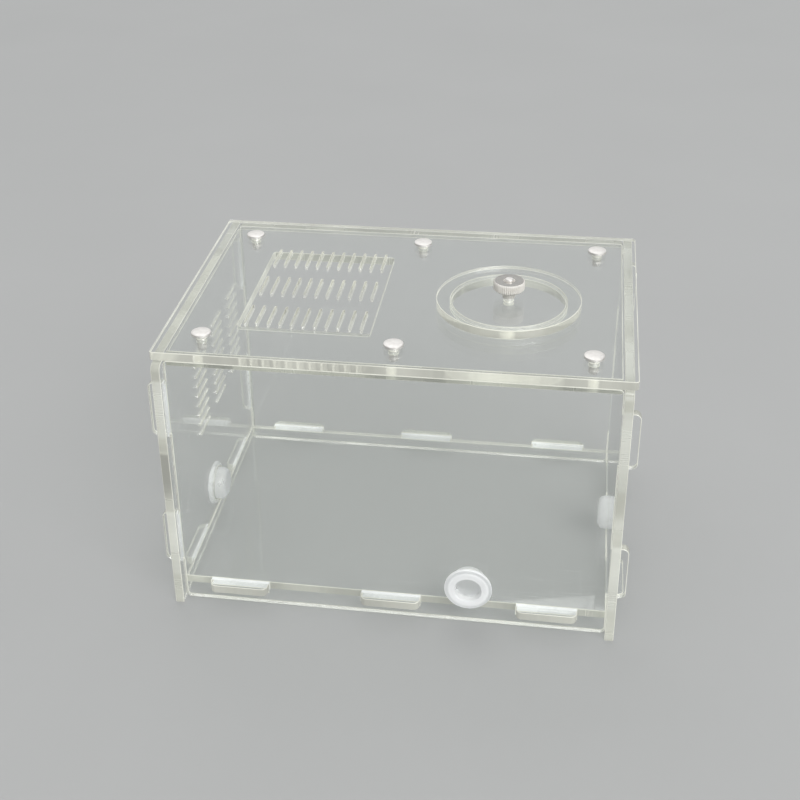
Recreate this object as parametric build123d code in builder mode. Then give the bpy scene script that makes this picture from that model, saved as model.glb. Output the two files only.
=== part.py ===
from build123d import *
import os

# Ant foraging box: clear sheet panels that hold each other by tabs and slots, a lift-off lid of two plates,
# a round feeding port with its cover, and three soft stoppers in the tube holes.
# Millimetres. X runs to the right, Y to the back, Z up.
# The origin is on the ground, under the middle of the box.

os.makedirs("parts", exist_ok=True)

# Sheet and box
sheet = 3.0
box_width = 150.0
box_depth = 104.2
wall_height = 94.5
wall_corner = 1.5
side_reach = 3.4
side_corner = 2.5
seat_gap = 0.05

# Tabs and slots
tab_proud = 2.8
tab_corner = 2.0
slot_gap = 0.1
wall_tab_length = 20.0
upper_tab_drop = 8.3
lower_tab_lift = 15.3
floor_lift = 5.0
floor_tab_length = 20.0
floor_tab_inset = 9.5

# Vent slits, the same in the lid and in the left side panel
slit_length = 13.0
slit_width = 0.8
slit_pitch = 3.85
slit_row_pitch = 22.2
lid_slits_in_row = 11
lid_slit_rows = 3
side_slits_in_column = 8
side_slit_columns = 3
side_vent_back = 10.5
side_vent_drop = 35.0
lid_vent_inset = 45.0
lid_vent_front = 0.8
window_side_margin = 2.4
window_end_margin = 0.0
window_corner = 1.0

# Lid
lid_end_overhang = 1.2
lid_front_overhang = 0.1
lid_corner = 1.2
lid_play = 0.5
pin_inset = 13.6
pin_radius = 1.5
pin_head_radius = 3.3
pin_head = 1.1
pin_head_edge = 0.2
pin_reach = 3.0
pin_gap = 0.1
pin_tip = 0.5

# Feeding port and its cover
port_inset = 42.2
port_front = 6.3
cover_disc_radius = 24.0
plug_disc_radius = 19.0
port_gap = 0.3
nut_height = 6.0
nut_head_height = 3.2
nut_head_radius = 5.2
nut_stem_radius = 2.15
nut_edge = 0.3
thread_gap = 0.06
screw_proud = 0.8
screw_edge = 0.3
screw_point = 0.4
knurl_count = 48
knurl_radius = 0.22

# Stoppers and their tube holes
stopper_radius = 6.0
stopper_gap = 0.3
stopper_lift = 0.5
stopper_flange_radius = 8.0
stopper_flange = 1.8
stopper_reach = 3.5
stopper_recess_radius = 4.4
stopper_recess = 2.5
stopper_end_round = 2.4
stopper_edge = 0.4
front_stopper_right = 26.3
side_stopper_front = 2.0

# Places that follow from the sizes above
inner_width = box_width - 2 * sheet
inner_depth = box_depth - 2 * sheet
floor_middle = floor_lift + sheet / 2
upper_tab_middle = wall_height - upper_tab_drop - wall_tab_length / 2
lower_tab_middle = lower_tab_lift + wall_tab_length / 2
floor_tab_across = inner_width / 2 - floor_tab_inset - floor_tab_length / 2
floor_tab_along = inner_depth / 2 - floor_tab_inset - floor_tab_length / 2
tube_hole_radius = stopper_radius + stopper_gap
tube_hole_height = floor_lift + sheet + stopper_lift + stopper_radius
lid_width = box_width + 2 * lid_end_overhang
lid_depth = box_depth + 2 * lid_front_overhang
lid_seat = wall_height + seat_gap
lid_top = lid_seat + sheet
lid_vent = (lid_vent_inset - lid_width / 2, -lid_vent_front)
pin_across = lid_width / 2 - pin_inset
pin_along = lid_depth / 2 - pin_inset
pin_spots = [(x, y) for y in (-pin_along, pin_along) for x in (-pin_across, 0, pin_across)]
pin_hole_radius = pin_radius + pin_gap
pin_length = 2 * (sheet + seat_gap) + pin_reach
port_hole_radius = plug_disc_radius + port_gap
port_right = lid_width / 2 - port_inset
port = Plane((port_right, -port_front, 0))
cover_seat = lid_top + seat_gap
cover_top = cover_seat + sheet
nut_seat = cover_top + seat_gap
nut_shoulder = nut_seat + nut_height - nut_head_height
nut_top = nut_seat + nut_height
window_width = (lid_slits_in_row - 1) * slit_pitch + slit_width + 2 * window_side_margin
window_depth = (lid_slit_rows - 1) * slit_row_pitch + slit_length + 2 * window_end_margin


def save(piece, name):
    """Name a finished piece and write it to its own file."""
    piece.part.label = name
    export_step(piece.part, f"parts/{name}.step")


def end_wall(plane, tube_hole):
    """Front or back wall, between the side panels, with two tabs through each of them."""
    with BuildPart() as wall:
        with BuildSketch(plane):
            with Locations((0, wall_height / 2)):
                RectangleRounded(inner_width - 2 * seat_gap, wall_height, wall_corner)
            with Locations((0, upper_tab_middle), (0, lower_tab_middle)):
                RectangleRounded(box_width + 2 * tab_proud, wall_tab_length, tab_corner)
            with Locations((0, floor_middle)):
                with GridLocations(floor_tab_across, 0, 3, 1):
                    Rectangle(floor_tab_length + 2 * slot_gap, sheet + 2 * slot_gap, mode=Mode.SUBTRACT)
            if tube_hole:
                with Locations((front_stopper_right, tube_hole_height)):
                    Circle(tube_hole_radius, mode=Mode.SUBTRACT)
        extrude(amount=sheet)
    return wall


def side_panel(plane, vented):
    """Side panel, outside the end walls, which it takes in slots. It stands past them in front and behind."""
    with BuildPart() as panel:
        with BuildSketch(plane) as outline:
            with Locations((0, wall_height / 2)):
                Rectangle(box_depth + 2 * side_reach, wall_height)
            fillet(outline.vertices().group_by(Axis.Y)[-1], radius=side_corner)
            with Locations((0, upper_tab_middle), (0, lower_tab_middle)):
                with GridLocations(box_depth - sheet, 0, 2, 1):
                    Rectangle(sheet + 2 * slot_gap, wall_tab_length + 2 * slot_gap, mode=Mode.SUBTRACT)
            with Locations((0, floor_middle)):
                with GridLocations(2 * floor_tab_along, 0, 2, 1):
                    Rectangle(floor_tab_length + 2 * slot_gap, sheet + 2 * slot_gap, mode=Mode.SUBTRACT)
            with Locations((-side_stopper_front, tube_hole_height)):
                Circle(tube_hole_radius, mode=Mode.SUBTRACT)
            if vented:
                with Locations((side_vent_back, wall_height - side_vent_drop)):
                    with GridLocations(slit_row_pitch, slit_pitch, side_slit_columns, side_slits_in_column):
                        SlotOverall(slit_length, slit_width, mode=Mode.SUBTRACT)
        extrude(amount=sheet)
    return panel


def lid_pin(x, y):
    """Pin with a low flat head that lies on the lid; its shank goes through both plates and ends inside."""
    with BuildPart() as pin:
        with BuildSketch(Plane((x, y, lid_top + seat_gap))):
            Circle(pin_head_radius)
        extrude(amount=pin_head)
        fillet(pin.edges().group_by(Axis.Z)[-1], radius=pin_head_edge)
        with BuildSketch(Plane((x, y, lid_top + seat_gap))):
            Circle(pin_radius)
        extrude(amount=-pin_length)
        fillet(pin.edges().group_by(Axis.Z)[0], radius=pin_tip)
    return pin


def round_plate(height, radius):
    """Disc of the port cover, with the screw's hole in its middle."""
    with BuildPart() as disc:
        with BuildSketch(port.offset(height)):
            Circle(radius)
            Circle(pin_hole_radius, mode=Mode.SUBTRACT)
        extrude(amount=sheet)
    return disc


def stopper(plane):
    """Soft stopper: the plane lies on the panel's outer face and points out of the box."""
    along = Axis(plane.origin, plane.z_dir)
    seat = plane.offset(seat_gap)
    with BuildPart() as plug:
        with BuildSketch(seat):
            Circle(stopper_flange_radius)
        extrude(amount=stopper_flange)
        with BuildSketch(seat):
            Circle(stopper_radius)
        extrude(amount=-(seat_gap + sheet + stopper_reach))
        fillet(plug.edges().sort_by(along)[0], radius=stopper_end_round)
        with BuildSketch(seat.offset(stopper_flange)):
            Circle(stopper_recess_radius)
        extrude(amount=-stopper_recess, mode=Mode.SUBTRACT)
        fillet(plug.edges().group_by(along)[-1], radius=stopper_edge)
    return plug


# Box panels
save(side_panel(Plane.YZ.offset(-box_width / 2), vented=True), "left_side")
save(side_panel(Plane.YZ.offset(inner_width / 2), vented=False), "right_side")
save(end_wall(Plane.XZ.offset(inner_depth / 2), tube_hole=True), "front_wall")
save(end_wall(Plane.XZ.offset(-box_depth / 2), tube_hole=False), "back_wall")

# Floor sheet, raised off the ground, with tabs through all four panels
with BuildPart() as floor:
    with BuildSketch(Plane.XY.offset(floor_lift)):
        Rectangle(inner_width - 2 * seat_gap, inner_depth - 2 * seat_gap)
        with GridLocations(floor_tab_across, 0, 3, 1):
            RectangleRounded(floor_tab_length, box_depth + 2 * tab_proud, tab_corner)
        with GridLocations(0, 2 * floor_tab_along, 1, 2):
            RectangleRounded(box_width + 2 * tab_proud, floor_tab_length, tab_corner)
    extrude(amount=sheet)
save(floor, "floor")

# Lid: the upper plate covers the panels and carries the slits
with BuildPart() as lid_top_plate:
    with BuildSketch(Plane.XY.offset(lid_seat)):
        RectangleRounded(lid_width, lid_depth, lid_corner)
        with Locations(lid_vent):
            with GridLocations(slit_pitch, slit_row_pitch, lid_slits_in_row, lid_slit_rows):
                SlotOverall(slit_length, slit_width, rotation=90, mode=Mode.SUBTRACT)
        with Locations((port_right, -port_front)):
            Circle(port_hole_radius, mode=Mode.SUBTRACT)
        with Locations(*pin_spots):
            Circle(pin_hole_radius, mode=Mode.SUBTRACT)
    extrude(amount=sheet)
save(lid_top_plate, "lid_top_plate")

# Lid: the inner plate fits inside the panels and leaves a window under the slits
with BuildPart() as lid_inner_plate:
    with BuildSketch(Plane.XY.offset(wall_height - sheet)):
        Rectangle(inner_width - 2 * lid_play, inner_depth - 2 * lid_play)
        with Locations(lid_vent):
            RectangleRounded(window_width, window_depth, window_corner, mode=Mode.SUBTRACT)
        with Locations((port_right, -port_front)):
            Circle(port_hole_radius, mode=Mode.SUBTRACT)
        with Locations(*pin_spots):
            Circle(pin_hole_radius, mode=Mode.SUBTRACT)
    extrude(amount=sheet)
save(lid_inner_plate, "lid_inner_plate")

for number, (x, y) in enumerate(pin_spots, start=1):
    save(lid_pin(x, y), f"lid_pin_{number}")

# Port cover: a wide disc on the lid, a smaller one in the port hole, and the headless screw through both
save(round_plate(cover_seat, cover_disc_radius), "cover_disc")
save(round_plate(lid_seat, plug_disc_radius), "cover_plug_disc")

with BuildPart() as cover_screw:
    with BuildSketch(port.offset(lid_seat)):
        Circle(pin_radius)
    extrude(amount=nut_top + screw_proud - lid_seat)
    chamfer(cover_screw.edges().group_by(Axis.Z)[0], length=screw_edge)
    chamfer(cover_screw.edges().group_by(Axis.Z)[-1], length=screw_point)
save(cover_screw, "cover_screw")

# Knurled thumb nut on the end of the screw, its stem down on the wide disc
with BuildPart() as cover_thumb_nut:
    with BuildSketch(Plane(port.origin, x_dir=(1, 0, 0), z_dir=(0, -1, 0))):
        with BuildLine():
            Polyline(
                (pin_radius + thread_gap, nut_seat),
                (nut_stem_radius, nut_seat),
                (nut_stem_radius, nut_shoulder),
                (nut_head_radius - nut_edge, nut_shoulder),
                (nut_head_radius, nut_shoulder + nut_edge),
                (nut_head_radius, nut_top - nut_edge),
                (nut_head_radius - nut_edge, nut_top),
                (pin_radius + thread_gap, nut_top),
                close=True,
            )
        make_face()
    revolve(axis=Axis(port.origin, port.z_dir))
    with BuildSketch(port.offset(nut_top)):
        with PolarLocations(nut_head_radius, knurl_count):
            Circle(knurl_radius)
    extrude(amount=-nut_head_height, mode=Mode.SUBTRACT)
save(cover_thumb_nut, "cover_thumb_nut")

# Stoppers
left_spot = (-box_width / 2, -side_stopper_front, tube_hole_height)
right_spot = (box_width / 2, -side_stopper_front, tube_hole_height)
left_hole = Plane(left_spot, x_dir=(0, 1, 0), z_dir=(-1, 0, 0))
right_hole = Plane(right_spot, x_dir=(0, 1, 0), z_dir=(1, 0, 0))
front_hole = Plane((front_stopper_right, -box_depth / 2, tube_hole_height), x_dir=(1, 0, 0), z_dir=(0, -1, 0))
save(stopper(left_hole), "stopper_left")
save(stopper(right_hole), "stopper_right")
save(stopper(front_hole), "stopper_front")
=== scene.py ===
import math

import bmesh
import bpy
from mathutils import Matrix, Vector


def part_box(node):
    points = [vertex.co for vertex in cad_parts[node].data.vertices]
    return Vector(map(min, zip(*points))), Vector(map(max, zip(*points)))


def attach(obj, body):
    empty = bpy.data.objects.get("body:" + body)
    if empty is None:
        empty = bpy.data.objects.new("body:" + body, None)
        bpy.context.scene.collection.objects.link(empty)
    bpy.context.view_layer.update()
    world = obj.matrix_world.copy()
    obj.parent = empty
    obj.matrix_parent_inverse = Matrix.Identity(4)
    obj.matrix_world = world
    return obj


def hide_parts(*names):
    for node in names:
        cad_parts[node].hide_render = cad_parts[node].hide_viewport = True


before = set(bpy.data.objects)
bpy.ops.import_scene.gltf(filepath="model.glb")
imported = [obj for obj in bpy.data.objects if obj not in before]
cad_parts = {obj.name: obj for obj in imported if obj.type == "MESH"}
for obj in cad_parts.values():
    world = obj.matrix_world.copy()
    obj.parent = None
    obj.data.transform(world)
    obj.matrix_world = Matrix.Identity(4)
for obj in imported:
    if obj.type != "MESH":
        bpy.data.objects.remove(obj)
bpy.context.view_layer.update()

# Side panels. Two clear cast acrylic panels, 3 mm thick, outermost on the left and on the right.
# They are laser cut, slots, vent slits and tube holes in one go, so their cut edges are pale,
# a little frosted and finely ribbed, with a painted glow. The end walls and the floor hang in them by their
# tabs.
TO_MM = 1000  # shapes are worked in millimetres
ARRIS = 0.2
SLIT_ARRIS = 0.06
SLOT_GAP = 0.2
WELD = 0.002
VENT_ZONE = ((-80, -20, 44), (-70, 41, 76))
FLAT = math.radians(0.5)
SMOOTH = math.radians(35)
CORNER = math.radians(60)
FACE_ON = 0.99
SIDE_ON = 0.2

ACRYLIC_IOR = 1.49
FACE_TINT = (0.985, 0.992, 0.985)
FACE_DUST = (0.9, 0.9, 0.88)
FACE_HAZE = 0.022
WIPE_STREAKS = (28, 90, 40)
WIPE_TURN = (0.3, 0.5, 0.6)
HAIRLINES = (((2600, 26, 1900), (0.2, 0.1, 0.5)), ((30, 2300, 2100), (0.5, 0.9, 1.9)))
SPECKS = 160.0
# The colour of the cut edges, and of their painted glow.
EDGE_GLOW = (0.80, 0.805, 0.72)
SLOT_FROST_AND_GLOW = (0.85, 0.87, 0.865)
EDGE_SHADE = 0.78
RIBS_ALONG = 3400.0
RIBS_THROUGH = 90.0
COARSE_RIBS = 0.17
SLOW_CHANGE = 0.012
MARK_DEPTH = 0.00002  # textures are in metres
LIGHT_PAST_FACE = (0.965, 0.97, 0.965)
LIGHT_PAST_EDGE = (0.72, 0.73, 0.71)


def feed(tree, node, inputs):
    """Sets or links a node's inputs, by name or number."""
    for key, value in inputs.items():
        if isinstance(value, bpy.types.NodeSocket):
            tree.links.new(value, node.inputs[key])
        else:
            node.inputs[key].default_value = value


def add(tree, kind, inputs, **settings):
    """A new node with its settings and its inputs."""
    node = tree.nodes.new(kind)
    for key, value in settings.items():
        setattr(node, key, value)
    feed(tree, node, inputs)
    return node


def noise(tree, place, scale, detail):
    """Soft random values between 0 and 1."""
    return add(tree, "ShaderNodeTexNoise", {"Vector": place, "Scale": scale, "Detail": detail}).outputs[0]


def drawn_out(tree, place, scale, turn=(0, 0, 0)):
    """A place measured along turned axes, each with its own scale."""
    return add(tree, "ShaderNodeMapping", {"Vector": place, "Rotation": turn, "Scale": scale}).outputs[0]


def calculate(tree, operation, *values):
    """The result of a Math node."""
    return add(tree, "ShaderNodeMath", dict(enumerate(values)), operation=operation).outputs[0]


def spread(tree, value, low, high, to_low=0.0, to_high=1.0):
    """A value whose span from low to high is spread over another span, and stops at its ends."""
    span = {"Value": value, "From Min": low, "From Max": high, "To Min": to_low, "To Max": to_high}
    return add(tree, "ShaderNodeMapRange", span).outputs[0]


def blended(tree, factor, first, second):
    """A colour that goes from a first to a second one."""
    colours = {"Factor": factor, "A": (*first, 1), "B": (*second, 1)}
    return add(tree, "ShaderNodeMix", colours, data_type="RGBA").outputs["Result"]


def relief(tree, height, strength, depth=MARK_DEPTH):
    """The normal of a surface with marks in it."""
    look = {"Strength": strength, "Distance": depth, "Height": height}
    return add(tree, "ShaderNodeBump", look).outputs[0]


def effect(name, amounts, results):
    """An empty node group that takes a place and some amounts, and its two end nodes."""
    group = bpy.data.node_groups.new(name, "ShaderNodeTree")
    group.interface.new_socket("Vector", in_out="INPUT", socket_type="NodeSocketVector")
    for label, amount in amounts.items():
        socket = group.interface.new_socket(label, in_out="INPUT", socket_type="NodeSocketFloat")
        socket.default_value = amount
    for label in results:
        group.interface.new_socket(label, in_out="OUTPUT", socket_type="NodeSocketFloat")
    return group, group.nodes.new("NodeGroupInput"), group.nodes.new("NodeGroupOutput")


def handling_marks():
    """Wiping haze, hairline scratches and a few specks of dust on a clear face."""
    group, given, out = effect("handling_marks", {"Haze": FACE_HAZE}, ("Roughness", "Height", "Dust"))
    place = given.outputs["Vector"]
    wiped = noise(group, drawn_out(group, place, WIPE_STREAKS, WIPE_TURN), 1.0, 4.0)
    haze = calculate(group, "MULTIPLY", spread(group, wiped, 0.48, 0.8), given.outputs["Haze"])
    ways = [noise(group, drawn_out(group, place, scale, turn), 1.0, 0.0) for scale, turn in HAIRLINES]
    scratch = calculate(group, "MAXIMUM", *[spread(group, way, 0.74, 0.8) for way in ways])
    specks = add(group, "ShaderNodeTexVoronoi", {"Vector": place, "Scale": SPECKS})
    feed(group, out, {
        "Roughness": calculate(group, "MULTIPLY_ADD", scratch, 0.12, haze),
        "Height": calculate(group, "MULTIPLY", scratch, -1.0),
        "Dust": spread(group, specks.outputs["Distance"], 0.045, 0.02),
    })
    return group


def cutting_ribs():
    """Ribs that the cutting beam leaves through a sheet, fine on coarse ones, and slow changes along it."""
    group, given, out = effect("cutting_ribs", {}, ("Height", "Roughness", "Shade"))
    place = given.outputs["Vector"]
    slow = noise(group, place, SLOW_CHANGE, 1.0)
    coarse = noise(group, place, COARSE_RIBS, 1.0)
    fine = noise(group, place, 1.0, 2.0)
    polish = spread(group, slow, 0.35, 0.65, 0.35, 1.0)
    frost = spread(group, fine, 0.0, 1.0, 0.32, 0.4)
    tone = calculate(group, "MULTIPLY_ADD", coarse, 0.12, slow)
    feed(group, out, {
        "Height": calculate(group, "MULTIPLY_ADD", coarse, 0.5, fine),
        "Roughness": calculate(group, "MULTIPLY", frost, polish),
        "Shade": spread(group, tone, 0.72, 0.44),
    })
    return group


def start_material(name):
    """A new material with its object coordinates and its Principled shader, which the caller feeds."""
    material = bpy.data.materials.new(name)
    material.use_nodes = True
    tree = material.node_tree
    place = add(tree, "ShaderNodeTexCoord", {}).outputs["Object"]
    return material, tree, place, tree.nodes["Principled BSDF"]


def let_light_in(tree, shader, share):
    """Lamps and bounced light pass the clear material, so that what it covers is lit."""
    path = add(tree, "ShaderNodeLightPath", {})
    passing = calculate(tree, "MAXIMUM", path.outputs["Is Shadow Ray"], path.outputs["Is Diffuse Ray"])
    clear = add(tree, "ShaderNodeBsdfTransparent", {"Color": (*share, 1)})
    both = add(tree, "ShaderNodeMixShader", {0: passing, 1: shader.outputs[0], 2: clear.outputs[0]})
    feed(tree, tree.nodes["Material Output"], {"Surface": both.outputs[0]})


marks = handling_marks()
ribs = cutting_ribs()


def clear_face():
    """The polished face of the sheet."""
    material, tree, place, shader = start_material("clear_sheet_face")
    worn = add(tree, "ShaderNodeGroup", {"Vector": place, "Haze": FACE_HAZE}, node_tree=marks)
    feed(tree, shader, {
        "Base Color": blended(tree, worn.outputs["Dust"], FACE_TINT, FACE_DUST),
        "Roughness": worn.outputs["Roughness"],
        "Normal": relief(tree, worn.outputs["Height"], 0.05),
        "IOR": ACRYLIC_IOR,
        "Transmission Weight": 1.0,
    })
    let_light_in(tree, shader, LIGHT_PAST_FACE)
    return material


def cut_edge(name, across, clear, rough, painted_glow, ribbing=0.008, glow=EDGE_GLOW):
    """A cut edge of a sheet that is thin across axis 0, 1 or 2. Its emission is a painted glow in the
    edge's colour, standing in for light piped through the sheet.
    """
    material, tree, place, shader = start_material(name + "_" + "xyz"[across])
    scale = [RIBS_THROUGH if axis == across else RIBS_ALONG for axis in range(3)]
    cut = add(tree, "ShaderNodeGroup", {"Vector": drawn_out(tree, place, scale)}, node_tree=ribs)
    colour_and_glow = blended(tree, cut.outputs["Shade"], glow, [EDGE_SHADE * part for part in glow])
    feed(tree, shader, {
        "Base Color": colour_and_glow,
        "Emission Color": colour_and_glow,
        "Roughness": calculate(tree, "MULTIPLY", cut.outputs["Roughness"], rough),
        "Normal": relief(tree, cut.outputs["Height"], ribbing),
        "IOR": ACRYLIC_IOR,
        "Transmission Weight": clear,
        "Emission Strength": painted_glow,
    })
    let_light_in(tree, shader, LIGHT_PAST_EDGE)
    return material


face = clear_face()
# Every edge below has a painted glow. The arris facets have a strong one, a painted highlight along each
# edge, and the frosted slot walls nearly as strong.
edges = [cut_edge("cut_edge", axis, clear=0.4, rough=1.0, painted_glow=0.07) for axis in range(3)]
arrises_with_painted_highlight = [cut_edge("arris", axis, clear=0.1, rough=0.6, painted_glow=0.32) for axis in range(3)]
slit_edges = {axis: cut_edge("slit_edge", axis, clear=0.6, rough=0.5, painted_glow=0.22) for axis in (0, 2)}
slot_edges = [
    cut_edge("slot_edge", axis, clear=0.1, rough=1.0, painted_glow=0.3, glow=SLOT_FROST_AND_GLOW) for axis in (0, 1)
]


def in_place(bm, name, body, materials, stands_for):
    """Turns finished millimetre work into a piece in metres that rides on its body."""
    bmesh.ops.scale(bm, vec=[1 / TO_MM] * 3, verts=bm.verts)
    for edge in bm.edges:
        edge.smooth = edge.calc_face_angle(0.0) < SMOOTH
    for polygon in bm.faces:
        polygon.smooth = True
    mesh = bpy.data.meshes.new(name)
    bm.to_mesh(mesh)
    bm.free()
    if mesh.has_custom_normals:
        mesh.attributes.remove(mesh.attributes["custom_normal"])
    for material in materials:
        mesh.materials.append(material)
    piece = bpy.data.objects.new(name, mesh)
    bpy.context.scene.collection.objects.link(piece)
    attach(piece, body)
    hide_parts(stands_for)


def inside(zone, point):
    """Whether a point lies in a zone, given by its low and high corners."""
    return all(low < value < high for low, value, high in zip(zone[0], point, zone[1]))


def slot_zone(node):
    """The space of the slots that hold a sheet's tabs."""
    low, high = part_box(node)
    return [TO_MM * value - SLOT_GAP for value in low], [TO_MM * value + SLOT_GAP for value in high]


def cut_sheet(node, body, across, edge=None, zones=(), holds=()):
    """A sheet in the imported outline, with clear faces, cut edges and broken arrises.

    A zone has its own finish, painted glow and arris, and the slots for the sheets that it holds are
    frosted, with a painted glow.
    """
    zones = [(slot_zone(other), slot_edges[across], ARRIS) for other in holds] + list(zones)
    bm = bmesh.new()
    bm.from_mesh(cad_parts[node].data)
    bmesh.ops.scale(bm, vec=[TO_MM] * 3, verts=bm.verts)
    bmesh.ops.remove_doubles(bm, verts=bm.verts, dist=WELD)
    bmesh.ops.dissolve_limit(bm, angle_limit=FLAT, verts=bm.verts, edges=bm.edges)
    corners = [
        e for e in bm.edges
        if e.calc_face_angle(0.0) > CORNER and any(abs(f.normal[across]) > FACE_ON for f in e.link_faces)
    ]
    slits = [zone for zone, finish_and_glow, arris in zones if arris == SLIT_ARRIS]
    narrow = [e for e in corners if any(all(inside(zone, v.co) for v in e.verts) for zone in slits)]
    taken = set(narrow)
    for some, width in ((narrow, SLIT_ARRIS), ([e for e in corners if e not in taken], ARRIS)):
        bmesh.ops.bevel(
            bm, geom=some, offset=width, offset_type="OFFSET", segments=1, profile=0.5, affect="EDGES",
            material=-1, clamp_overlap=False, loop_slide=False,
        )
    for polygon in bm.faces:
        facing = abs(polygon.normal[across])
        polygon.material_index = 0 if facing > FACE_ON else 1 if facing < SIDE_ON else 2
        for number, (zone, finish_and_glow, arris) in enumerate(zones):
            if facing < SIDE_ON and inside(zone, polygon.calc_center_median()):
                polygon.material_index = 3 + number
    materials = [face, edge or edges[across], arrises_with_painted_highlight[across]] + [finish_and_glow for zone, finish_and_glow, arris in zones]
    in_place(bm, node + "_sheet", body, materials, node)


cut_sheet(
    "left_side", "box", 0, zones=[(VENT_ZONE, slit_edges[0], SLIT_ARRIS)],
    holds=("front_wall", "back_wall", "floor"),
)
cut_sheet("right_side", "box", 0, holds=("front_wall", "back_wall", "floor"))

# Front and back wall. Clear 3 mm sheets between the side panels, with two tabs on each end that
# stand out through the slots of the sides. The front wall has the third tube hole.
cut_sheet("front_wall", "box", 1, holds=("floor",))
cut_sheet("back_wall", "box", 1, holds=("floor",))

# Floor. One clear 3 mm sheet, held a little above the ground by ten tabs in the slots of all
# four walls. Its cut edges show through the walls, with a stronger painted glow than theirs.
floor_edge = cut_edge("floor_edge", 2, clear=0.35, rough=0.8, painted_glow=0.22, ribbing=0.01)
cut_sheet("floor", "box", 2, floor_edge)

# Lid plates. The upper plate covers the box, with three rows of fine vent slits and the round
# feeding port. The inner plate is pinned under it and keeps the lid in place between the walls.
# Both are cut from the same clear sheet, and their six pins hold them together.
PORT_ZONE = ((14, -26, 85), (54, 14, 100))
SLIT_ZONE = ((-53, -31, 90), (-9, 30, 100))
PAINTED_LIGHT_WALL = ((-54.5, -30, 90), (-52.6, 29, 95))

# Each of these edges has a painted glow. The left wall of the inner plate's window has the strongest,
# painted light as if it fell from the right.
lid_edge = cut_edge("lid_edge", 2, clear=0.5, rough=0.5, painted_glow=0.3, ribbing=0.01)
window_wall_painted_light = cut_edge("window_wall_painted_light", 2, clear=0.1, rough=1.0, painted_glow=0.35)
polished_edge = cut_edge("polished_edge", 2, clear=0.55, rough=0.4, painted_glow=0.24, ribbing=0.01)
port = (PORT_ZONE, polished_edge, ARRIS)
cut_sheet("lid_top_plate", "lid", 2, lid_edge, zones=[(SLIT_ZONE, slit_edges[2], SLIT_ARRIS), port])
cut_sheet("lid_inner_plate", "lid", 2, zones=[(PAINTED_LIGHT_WALL, window_wall_painted_light, ARRIS), port])

# Port cover. Two clear discs of the same 3 mm sheet, with smooth rims like the port's. The wide
# one lies on the lid, and the smaller one is held under it and sits in the port.
cut_sheet("cover_disc", "port_cover", 2, polished_edge)
cut_sheet("cover_plug_disc", "port_cover", 2, polished_edge)

# Lid pins. Six steel pins with low, faintly domed heads, turned from bar and pressed through
# both lid plates. Their rounded ends stand out under the inner plate.
PIN_RADIUS = 1.49
PIN_HEAD_RADIUS = 3.29
PIN_HEAD_HEIGHT = 1.08
PIN_DOME = 0.22
PIN_TIP = 0.6
STEEL = (0.94, 0.92, 0.89)
STEEL_DULL = (0.84, 0.82, 0.79)
TOOL_RINGS = 8400.0
DULL_PATCHES = 700.0
ON_CORNER = 0.01


def at_corner(vert, radius, height):
    """Whether a point of a turned shape lies on one of its corners."""
    return abs(vert.co.xy.length - radius) < ON_CORNER and abs(vert.co.z - height) < ON_CORNER


def turned(profile, sides=96):
    """A shape turned round the Z axis, from corners of radius, height and rounding.

    The corners run from axis to axis, or right round where the first one is off the axis.
    """
    bm = bmesh.new()
    rail = [bm.verts.new((radius, 0, height)) for radius, height, rounding in profile]
    line = [bm.edges.new(pair) for pair in zip(rail, rail[1:])]
    if profile[0][0] > 0:
        line.append(bm.edges.new((rail[-1], rail[0])))
    bmesh.ops.spin(
        bm, geom=rail + line, cent=(0, 0, 0), axis=(0, 0, 1), angle=math.tau, steps=sides, use_merge=True,
    )
    bmesh.ops.remove_doubles(bm, verts=bm.verts, dist=0.001)
    for radius, height, rounding in profile:
        if rounding:
            ring = [e for e in bm.edges if all(at_corner(v, radius, height) for v in e.verts)]
            bmesh.ops.bevel(
                bm, geom=ring, offset=rounding, offset_type="OFFSET", segments=4, profile=0.5,
                affect="EDGES", material=-1, clamp_overlap=False, loop_slide=True,
            )
    bmesh.ops.recalc_face_normals(bm, faces=bm.faces)
    return bm


def turning_marks():
    """Fine rings of a lathe tool about the Z axis, and handling haze."""
    group, given, out = effect("turning_marks", {"Base": 0.2}, ("Roughness", "Height", "Shade"))
    place = given.outputs["Vector"]
    flat = add(group, "ShaderNodeVectorMath", {0: place, 1: (1, 1, 0)}, operation="MULTIPLY")
    far = add(group, "ShaderNodeVectorMath", {0: flat.outputs[0]}, operation="LENGTH")
    high = add(group, "ShaderNodeSeparateXYZ", {0: place})
    track = calculate(group, "ADD", far.outputs["Value"], high.outputs["Z"])
    cut = {"W": track, "Scale": TOOL_RINGS, "Detail": 3.0}
    rings = add(group, "ShaderNodeTexNoise", cut, noise_dimensions="1D").outputs[0]
    haze = noise(group, place, DULL_PATCHES, 3.0)
    both = calculate(group, "MULTIPLY", rings, haze)
    feed(group, out, {
        "Roughness": calculate(group, "MULTIPLY_ADD", both, 0.5, given.outputs["Base"]),
        "Height": rings,
        "Shade": spread(group, haze, 0.35, 0.75),
    })
    return group


lathe = turning_marks()


def turned_metal(name, centre, bright, dull, base, depth, metallic=1.0):
    """A turned metal with its rings about one axis, bright where clean and a little dull in patches."""
    material, tree, place, shader = start_material(name)
    own = add(tree, "ShaderNodeMapping", {"Vector": place, "Location": (-centre.x, -centre.y, -centre.z)})
    cut = add(tree, "ShaderNodeGroup", {"Vector": own.outputs[0], "Base": base}, node_tree=lathe)
    feed(tree, shader, {
        "Base Color": blended(tree, cut.outputs["Shade"], bright, dull),
        "Roughness": cut.outputs["Roughness"],
        "Normal": relief(tree, cut.outputs["Height"], depth),
        "Metallic": metallic,
    })
    return material


def top_and_height(node):
    """The middle of a node's top, in metres, and the node's height in millimetres."""
    low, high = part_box(node)
    return Vector(((low.x + high.x) / 2, (low.y + high.y) / 2, high.z)), (high.z - low.z) * TO_MM


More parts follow.
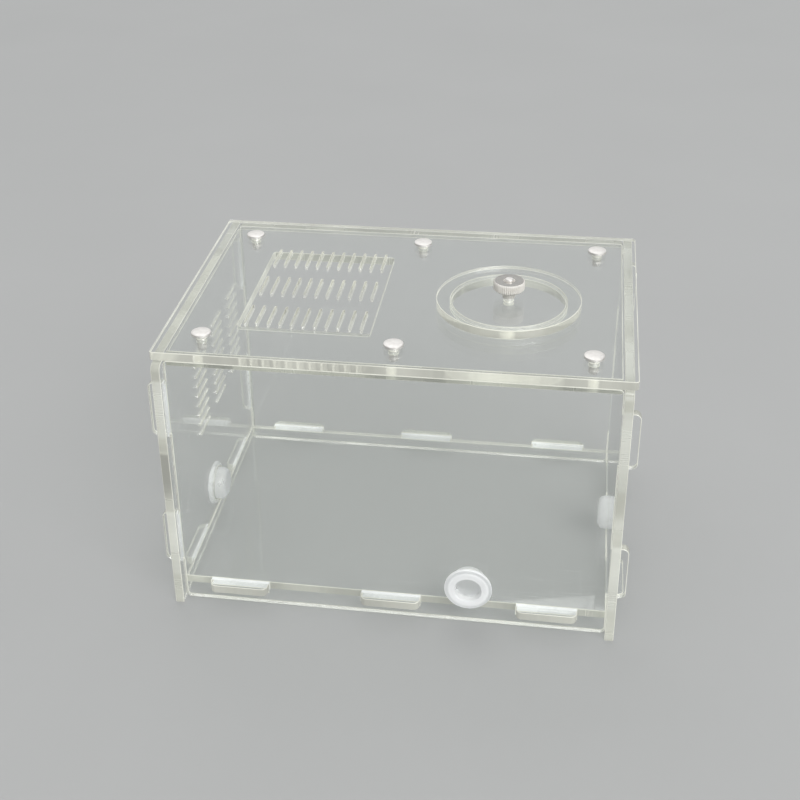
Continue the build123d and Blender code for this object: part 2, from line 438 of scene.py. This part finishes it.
for number in range(1, 7):
    node = f"lid_pin_{number}"
    top, length = top_and_height(node)
    pin = turned([
        (0, 0, 0), (1.6, -0.03, 0), (2.6, -0.1, 0), (3.2, -PIN_DOME, 0.14),
        (PIN_HEAD_RADIUS, -PIN_HEAD_HEIGHT, 0.08), (PIN_RADIUS, -PIN_HEAD_HEIGHT - 0.01, 0),
        (PIN_RADIUS, -length, PIN_TIP), (0, -length, 0),
    ])
    bmesh.ops.translate(pin, verts=pin.verts, vec=top * TO_MM)
    steel = turned_metal(f"pin_steel_{number}", top, STEEL, STEEL_DULL, base=0.42, depth=0.12)
    in_place(pin, node + "_turned", "lid", [steel], node)

# Cover screw. A headless steel screw, threaded all along, that stands up through both discs
# and the thumb nut, where its domed end shows in the middle.
SCREW_RADIUS = 1.46
SCREW_LEAD = 0.72
THREAD_PITCH = 0.5
THREAD_CORE = 1.2
THREAD_ROOT = 1.28
THREAD_CREST = 1.49
THREAD_LIP = ((THREAD_CORE, 0.02), (THREAD_CREST, 0.2), (THREAD_CREST, 0.26), (THREAD_CORE, 0.44))
THREAD_START = 0.3
THREAD_SPARE = 1.05
TURN_STEPS = 32

top, length = top_and_height("cover_screw")
screw = turned([
    (0, 0, 0), (1.15, -0.09, 0.1), (SCREW_RADIUS, -0.4, 0.1), (SCREW_RADIUS, -SCREW_LEAD, 0),
    (THREAD_ROOT, -0.9, 0), (THREAD_ROOT, 0.2 - length, 0), (1.1, -length, 0), (0, -length, 0),
])
turns = (length - THREAD_SPARE) / THREAD_PITCH
steps = int(turns * TURN_STEPS)
lip = [screw.verts.new((radius, 0, THREAD_START - length + rise)) for radius, rise in THREAD_LIP]
strip = [screw.edges.new((lip[i], lip[(i + 1) % 4])) for i in range(4)]
wound = bmesh.ops.spin(
    screw, geom=lip + strip, cent=(0, 0, 0), axis=(0, 0, 1), angle=math.tau * turns, steps=steps,
    dvec=(0, 0, THREAD_PITCH * turns / steps), use_merge=False,
)
last = [part for part in wound["geom_last"] if isinstance(part, (bmesh.types.BMVert, bmesh.types.BMEdge))]
screw.faces.new(lip)
bmesh.ops.contextual_create(screw, geom=last)
bmesh.ops.recalc_face_normals(screw, faces=screw.faces)
bmesh.ops.translate(screw, verts=screw.verts, vec=top * TO_MM)
steel = turned_metal("screw_steel", top, STEEL, STEEL_DULL, base=0.4, depth=0.1)
in_place(screw, "cover_screw_threaded", "port_cover", [steel], "cover_screw")

# Thumb nut. Nickel plated, turned from bar with a straight knurl round its head and a slim stem
# down to the disc. Its top is polished flat, and it holds both discs on the screw.
NUT_BORE = 1.56
NUT_STEM_RADIUS = 2.15
NUT_HEAD_RADIUS = 5.17
NUT_HEAD_HEIGHT = 3.2
KNURLS = 48
KNURL_DEPTH = 0.26
KNURL_FROM = 5.0
UPWARD = 0.9
NICKEL = (0.97, 0.94, 0.89)
NICKEL_DULL = (0.90, 0.87, 0.82)
POLISHED_NICKEL_PAINTED_DARK = (0.80, 0.78, 0.74)
POLISHED_DULL_PAINTED_DARK = (0.68, 0.66, 0.62)

top, height = top_and_height("cover_thumb_nut")
nut = turned([
    (NUT_BORE, 0.02 - height, 0), (NUT_STEM_RADIUS, 0.02 - height, 0.1), (NUT_STEM_RADIUS, -3.25, 0.12),
    (2.35, -NUT_HEAD_HEIGHT, 0), (4.7, -NUT_HEAD_HEIGHT, 0.08), (NUT_HEAD_RADIUS, -2.78, 0.05),
    (NUT_HEAD_RADIUS, -0.42, 0.05), (4.78, 0, 0.08), (1.95, 0, 0.05), (NUT_BORE, -0.35, 0),
], sides=KNURLS * 4)
for v in nut.verts:
    if v.co.xy.length > KNURL_FROM:
        place = (math.atan2(v.co.y, v.co.x) / math.tau * KNURLS) % 1.0
        v.co.xy *= 1 - abs(place - 0.5) * 2 * KNURL_DEPTH / v.co.xy.length
for polygon in nut.faces:
    polygon.material_index = 0 if polygon.normal.z > UPWARD else 1
bmesh.ops.translate(nut, verts=nut.verts, vec=top * TO_MM)
# The polished top is painted a darker nickel, a painted reflection of a dark surround. The knurled side is
# only a quarter metal so that it reads brighter, painted light on the side.
polished_top_painted_dark = turned_metal("nut_polished", top, POLISHED_NICKEL_PAINTED_DARK, POLISHED_DULL_PAINTED_DARK, base=0.05, depth=0.05)
satin_side_painted_bright = turned_metal("nut_satin", top, NICKEL, NICKEL_DULL, base=0.5, depth=0.08, metallic=0.25)
in_place(nut, "cover_thumb_nut_knurled", "thumb_nut", [polished_top_painted_dark, satin_side_painted_bright], "cover_thumb_nut")

# Stoppers. Moulded in soft, milky silicone, with a round flange that stops on the panel and a
# shallow recess in it. Each closes one tube hole by its own squeeze and pulls out by the flange.
PLUG_RADIUS = 6.0
FLANGE_RADIUS = 8.0
FLANGE_DEPTH = 1.8
FLANGE_STEP = 0.5
RECESS_RADIUS = 4.3
RECESS_DEPTH = 2.45
STEP_RING = (6.9, 7.8)
PLUG_TOP = -1.9
PLUG_WALL = 4.4
SILICONE_IOR = 1.41
MILK_AND_GLOW = (0.96, 0.965, 0.965)
MILK_CLOUDS_AND_GLOW = (0.90, 0.915, 0.92)
CLOUDS = 260.0
SKIN_GRAIN = 4200.0
SKIN_DEPTH = 0.00003
LIGHT_PAST_SILICONE = (0.7, 0.71, 0.71)


def silicone(name, clear, painted_glow):
    """Milky silicone, with faint clouds inside and a fine mould skin, clearer where it is thin, and a
    painted glow in its own colour.
    """
    material, tree, place, shader = start_material(name)
    clouds = noise(tree, place, CLOUDS, 3.0)
    tone = blended(tree, clouds, MILK_AND_GLOW, MILK_CLOUDS_AND_GLOW)
    feed(tree, shader, {
        "Base Color": tone,
        "Emission Color": tone,
        "Roughness": spread(tree, clouds, 0.0, 1.0, 0.22, 0.4),
        "Normal": relief(tree, noise(tree, place, SKIN_GRAIN, 2.0), 0.08, SKIN_DEPTH),
        "IOR": SILICONE_IOR,
        "Transmission Weight": clear,
        "Emission Strength": painted_glow,
    })
    let_light_in(tree, shader, LIGHT_PAST_SILICONE)
    return material


# The flange's face has the strongest painted glow, the plug behind it less, and the thin parts hardly any.
milks = [
    silicone("milky_silicone", clear=0.3, painted_glow=0.17),
    silicone("thin_silicone", clear=0.85, painted_glow=0.03),
    silicone("body_silicone", clear=0.6, painted_glow=0.06),
]
for side, out_way in (("left", (-1, 0, 0)), ("right", (1, 0, 0)), ("front", (0, -1, 0))):
    node = "stopper_" + side
    low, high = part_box(node)
    out_way = Vector(out_way)
    half = Vector([abs(a * b) for a, b in zip(high - low, out_way)]).length / 2
    outer_end = ((low + high) / 2 + out_way * half) * TO_MM
    inner_end = -2 * TO_MM * half
    plug = turned([
        (0, inner_end, 0), (PLUG_RADIUS - 0.1, inner_end, 2.3), (PLUG_RADIUS, -FLANGE_DEPTH, 0),
        (7.9, -FLANGE_DEPTH, 0.3), (FLANGE_RADIUS, -FLANGE_STEP, 0.35), (7.05, -FLANGE_STEP, 0.2),
        (6.6, 0, 0.35), (4.5, 0, 0.35), (RECESS_RADIUS, -RECESS_DEPTH, 0.5), (0, -RECESS_DEPTH, 0),
    ], sides=72)
    # The recess's floor and the flange's step are thin, and the plug behind the flange shows less milky.
    for polygon in plug.faces:
        spot = polygon.calc_center_median()
        radius = spot.xy.length
        step = STEP_RING[0] < radius < STEP_RING[1] and spot.z > -1
        thin = abs(polygon.normal.z) > 0.5 and (radius < RECESS_RADIUS or step)
        behind = spot.z < PLUG_TOP and radius > PLUG_WALL
        polygon.material_index = 1 if thin else 2 if behind else 0
    turn = Vector((0, 0, 1)).rotation_difference(out_way).to_matrix()
    bmesh.ops.rotate(plug, verts=plug.verts, cent=(0, 0, 0), matrix=turn)
    bmesh.ops.translate(plug, verts=plug.verts, vec=outer_end)
    in_place(plug, node + "_moulded", side + "_stopper", milks, node)

# Studio. A pale floor that lies a hair under the box, an even pale surround and two large soft
# lamps, the stronger one from the front right.
FLOOR_HALF = 6.0
FLOOR_DROP = 0.0001
FLOOR_PALE = (0.49, 0.495, 0.49)
FLOOR_PALER = (0.52, 0.525, 0.52)
FLOOR_MOTTLE = 9.0
SURROUND = (0.50, 0.505, 0.51)
BOX_MIDDLE = (0, 0, 0.05)

bm = bmesh.new()
bmesh.ops.create_grid(bm, x_segments=1, y_segments=1, size=FLOOR_HALF)
bmesh.ops.translate(bm, verts=bm.verts, vec=(0, 0, -FLOOR_DROP))
ground_mesh = bpy.data.meshes.new("studio_floor")
bm.to_mesh(ground_mesh)
bm.free()
ground = bpy.data.objects.new("studio_floor", ground_mesh)
bpy.context.scene.collection.objects.link(ground)
material, tree, place, shader = start_material("studio_floor")
mottle = noise(tree, place, FLOOR_MOTTLE, 3.0)
feed(tree, shader, {"Base Color": blended(tree, mottle, FLOOR_PALE, FLOOR_PALER), "Roughness": 0.9})
ground_mesh.materials.append(material)

world = bpy.data.worlds.new("studio")
bpy.context.scene.world = world
world.use_nodes = True
feed(world.node_tree, world.node_tree.nodes["Background"], {"Color": (*SURROUND, 1), "Strength": 1.0})


def soft_lamp(name, place, size, power):
    """A large soft lamp that points at the middle of the box."""
    lamp = bpy.data.lights.new(name, "AREA")
    lamp.shape = "RECTANGLE"
    lamp.size, lamp.size_y = size
    lamp.energy = power
    held = bpy.data.objects.new(name, lamp)
    held.location = place
    held.rotation_euler = (Vector(BOX_MIDDLE) - Vector(place)).to_track_quat("-Z", "Y").to_euler()
    bpy.context.scene.collection.objects.link(held)


soft_lamp("back_overhead", (-0.5, 2.25, 3.25), size=(3.0, 2.0), power=31.0)
soft_lamp("front_right", (1.9, -2.4, 2.75), size=(2.5, 2.0), power=81.0)

# Camera at the photograph's angle, fitted to the corners of the box and the lid. The small shift
# is the photograph's own framing.
CAMERA_PLACE = (0.05455, -0.40619, 0.30297)
CAMERA_TURN = (60.896, 1.1876, 9.2151)

lens = bpy.data.cameras.new("camera")
lens.lens = 60.57
lens.sensor_width = 36.0
lens.shift_x = 0.045
lens.shift_y = -0.0625
camera = bpy.data.objects.new("camera", lens)
camera.location = CAMERA_PLACE
camera.rotation_euler = [math.radians(angle) for angle in CAMERA_TURN]
bpy.context.scene.collection.objects.link(camera)
bpy.context.scene.camera = camera

# Enough bounces for light that passes all the clear sheets.
BOUNCES = 32
settings = bpy.context.scene
settings.view_settings.view_transform = "Standard"
settings.cycles.max_bounces = BOUNCES
settings.cycles.transmission_bounces = BOUNCES
settings.cycles.transparent_max_bounces = BOUNCES
